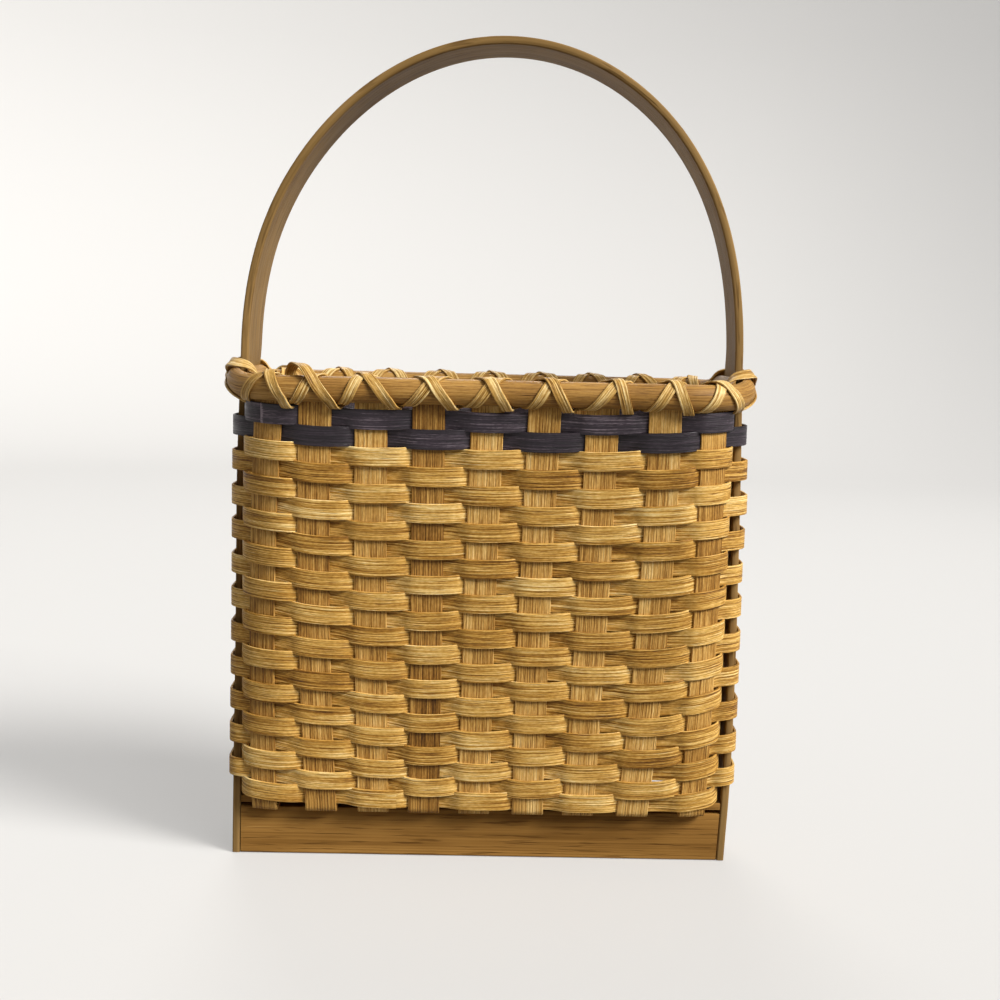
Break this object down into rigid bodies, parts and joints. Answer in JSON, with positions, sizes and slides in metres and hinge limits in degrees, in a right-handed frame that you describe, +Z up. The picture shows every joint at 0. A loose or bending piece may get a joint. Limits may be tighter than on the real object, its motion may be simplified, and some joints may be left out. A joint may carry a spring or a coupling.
{
  "type": "hanging wall basket",
  "caption": "Flat-reed basket woven on an oak base board, with a half-round rim lashed in crosses and a fixed bentwood oak handle to hang it by or carry it",
  "frame": {"origin": "middle of the underside of the base board, which the basket stands on", "axes": "+Z up, X along the board from the left leg to the right leg, the front faces -Y"},
  "size_m": [0.2732, 0.122, 0.4161],
  "materials": {
    "oak_board": "satin oil",
    "oak_handle": "satin oil",
    "reed_stake": "satin stain",
    "reed_weaver": "satin stain",
    "reed_dyed": "dyed, satin",
    "reed_rim": "satin stain",
    "reed_lashing": "satin stain",
    "brad_steel": "plain"
  },
  "bodies": {
    "root": {"base_board": "oak_board", "handle": "oak_handle", "brad_left_lower": "brad_steel", "brad_left_upper": "brad_steel", "brad_right_lower": "brad_steel", "brad_right_upper": "brad_steel", "stake_front_1": "reed_stake", "stake_front_2": "reed_stake", "stake_front_3": "reed_stake", "stake_front_4": "reed_stake", "stake_front_5": "reed_stake", "stake_front_6": "reed_stake", "stake_front_7": "reed_stake", "stake_front_8": "reed_stake", "stake_front_9": "reed_stake", "stake_back_1": "reed_stake", "stake_back_2": "reed_stake", "stake_back_3": "reed_stake", "stake_back_4": "reed_stake", "stake_back_5": "reed_stake", "stake_back_6": "reed_stake", "stake_back_7": "reed_stake", "stake_back_8": "reed_stake", "stake_back_9": "reed_stake", "weaver_01": "reed_weaver", "weaver_02": "reed_weaver", "weaver_03": "reed_weaver", "weaver_04": "reed_weaver", "weaver_05": "reed_weaver", "weaver_06": "reed_weaver", "weaver_07": "reed_weaver", "weaver_08": "reed_weaver", "weaver_09": "reed_weaver", "weaver_10": "reed_weaver", "weaver_11": "reed_weaver", "weaver_12": "reed_weaver", "weaver_13": "reed_weaver", "weaver_14": "reed_weaver", "weaver_15": "reed_weaver", "weaver_16": "reed_weaver", "weaver_17": "reed_weaver", "weaver_18": "reed_weaver", "weaver_19": "reed_weaver", "weaver_20": "reed_weaver", "weaver_21": "reed_weaver", "weaver_22_dyed": "reed_dyed", "weaver_23_dyed": "reed_dyed", "rim_outer": "reed_rim", "rim_inner": "reed_rim", "lashing_under": "reed_lashing", "lashing_over": "reed_lashing"}
  },
  "joints": []
}
